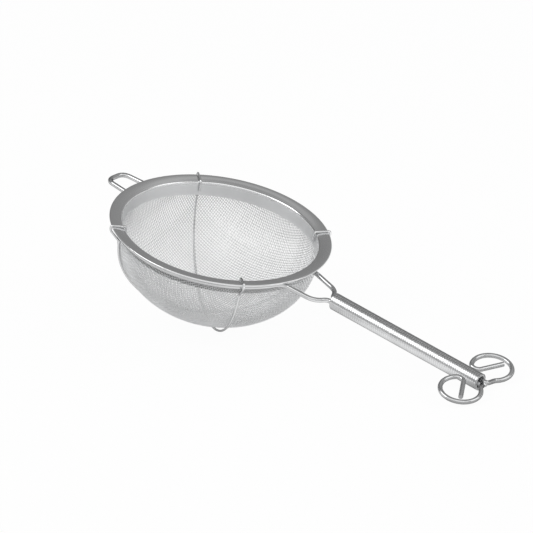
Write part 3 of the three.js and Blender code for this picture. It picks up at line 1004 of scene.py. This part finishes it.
def table_card(name, reach):
    """A grey card that lies on the table."""
    places = card_places((-reach, reach), (-reach, reach))
    points = [(x, y, CLEARANCE) for x, y in places]
    add_card(name, points, [table_shade(x) for x, _ in places])


def add_card(name, points, brightness):
    """A card of square cells, shaded point by point, which only reflections see."""
    material, start = new_material(name)
    shade = start.node("ShaderNodeAttribute", {"attribute_name": "shade"}, {}, "Color")
    glow = start.node("ShaderNodeEmission", {}, {"Color": shade, "Strength": 1.0})
    start.node("ShaderNodeOutputMaterial", {}, {"Surface": glow})
    across = CARD_CELLS + 1
    corners = [j * across + i for j in range(CARD_CELLS) for i in range(CARD_CELLS)]
    faces = [(k, k + 1, k + across + 1, k + across) for k in corners]
    mesh = bpy.data.meshes.new(name)
    mesh.from_pydata(points, [], faces)
    shades = mesh.attributes.new("shade", "FLOAT_COLOR", "POINT")
    for point, grey in zip(shades.data, brightness):
        point.color = (grey, grey, grey, 1)
    mesh.materials.append(material)
    card = bpy.data.objects.new(name, mesh)
    card.visible_camera = False
    card.visible_diffuse = False
    card.visible_shadow = False
    card.visible_transmission = False
    bpy.context.collection.objects.link(card)


def floor_material():
    """White for the rays that show the background, and keeping a trace of the shadow."""
    material, start = new_material("floor_white")
    paint = start.node("ShaderNodeBsdfDiffuse", {}, {"Color": (FLOOR_GREY, FLOOR_GREY, FLOOR_GREY, 1)})
    glow = start.node("ShaderNodeEmission", {}, {"Color": (1, 1, 1, 1), "Strength": 1.0})
    white = FLOOR_WHITE * shown_rays(start)
    mix = start.node("ShaderNodeMixShader", {}, {0: white, 1: paint, 2: glow})
    start.node("ShaderNodeOutputMaterial", {}, {"Surface": mix})
    return material


def room_light(brightness):
    """An even room, white for the rays that show the background."""
    world = bpy.data.worlds.new("room")
    world.use_nodes = True
    world.node_tree.nodes.clear()
    start = Socket(world.node_tree)
    room = start.node("ShaderNodeBackground", {}, {"Color": (1, 1, 1, 1), "Strength": brightness})
    white = start.node("ShaderNodeBackground", {}, {"Color": (1, 1, 1, 1), "Strength": 1.0})
    mix = start.node("ShaderNodeMixShader", {}, {0: shown_rays(start), 1: room, 2: white})
    start.node("ShaderNodeOutputWorld", {}, {"Surface": mix})
    bpy.context.scene.world = world


class STRAINER_OT_stage(StrainerOperator, bpy.types.Operator):
    """Set the floor, the lamps, the cards and the camera"""

    bl_idname = "strainer.stage"
    bl_label = "Stage"

    def build(self, settings, d, place):
        stage = settings.stage
        bpy.context.scene.view_settings.view_transform = "Standard"
        target, back = add_camera(stage, settings.rim, place)
        heading = math.atan2(back.x, -back.y)
        room_light(stage.room)

        near, far = -FLOOR_REACH, FLOOR_REACH
        mesh = bpy.data.meshes.new("floor")
        corners = [(near, near, 0), (far, near, 0), (far, far, 0), (near, far, 0)]
        mesh.from_pydata(corners, [], [(0, 1, 2, 3)])
        mesh.materials.append(floor_material())
        floor = bpy.data.objects.new("floor", mesh)
        bpy.context.collection.objects.link(floor)

        lamps = (("key_lamp", stage.key, KEY_LAMP), ("fill_lamp", stage.fill, FILL_LAMP))
        for name, power, lamp in lamps:
            position = sky_point(target, heading, lamp.reach, lamp.turn, lamp.height)
            add_lamp(name, power, lamp.size, position, target)
        dome_card("back_card", target, heading, BACK_CARD, stage.card)
        dome_card("top_card", target, heading, TOP_CARD, stage.card)
        dome_card("front_card", target, heading, FRONT_CARD, stage.front_card)
        table_card("table_card", TABLE_CARD_REACH)


class STRAINER_PT_panel(bpy.types.Panel):
    """The strainer's steps, in order"""

    bl_idname = "STRAINER_PT_panel"
    bl_label = "Strainer"
    bl_space_type = "VIEW_3D"
    bl_region_type = "UI"
    bl_category = "Strainer"

    def draw(self, context):
        for step in STEPS:
            self.layout.operator(step.bl_idname)


STEPS = (STRAINER_OT_stage, STRAINER_OT_rim, STRAINER_OT_cloth, STRAINER_OT_rods, STRAINER_OT_pin)
GROUPS = (
    RimSizes,
    ClothSizes,
    RodSizes,
    GripSizes,
    RingSizes,
    BraceSizes,
    Finishes,
    StageSettings,
    StrainerSettings,
)
CLASSES = (*GROUPS, *STEPS, STRAINER_PT_panel)


def register():
    """Adds the strainer's settings, operators and panel."""
    for item in CLASSES:
        bpy.utils.register_class(item)
    bpy.types.Scene.strainer = PointerProperty(type=StrainerSettings)


def unregister():
    """Takes them out again."""
    del bpy.types.Scene.strainer
    for item in reversed(CLASSES):
        bpy.utils.unregister_class(item)


def main():
    """Builds the strainer step by step."""
    register()
    bpy.ops.strainer.stage()
    bpy.ops.strainer.rim()
    bpy.ops.strainer.cloth()
    bpy.ops.strainer.rods()
    bpy.ops.strainer.pin()


if __name__ == "__main__":
    main()
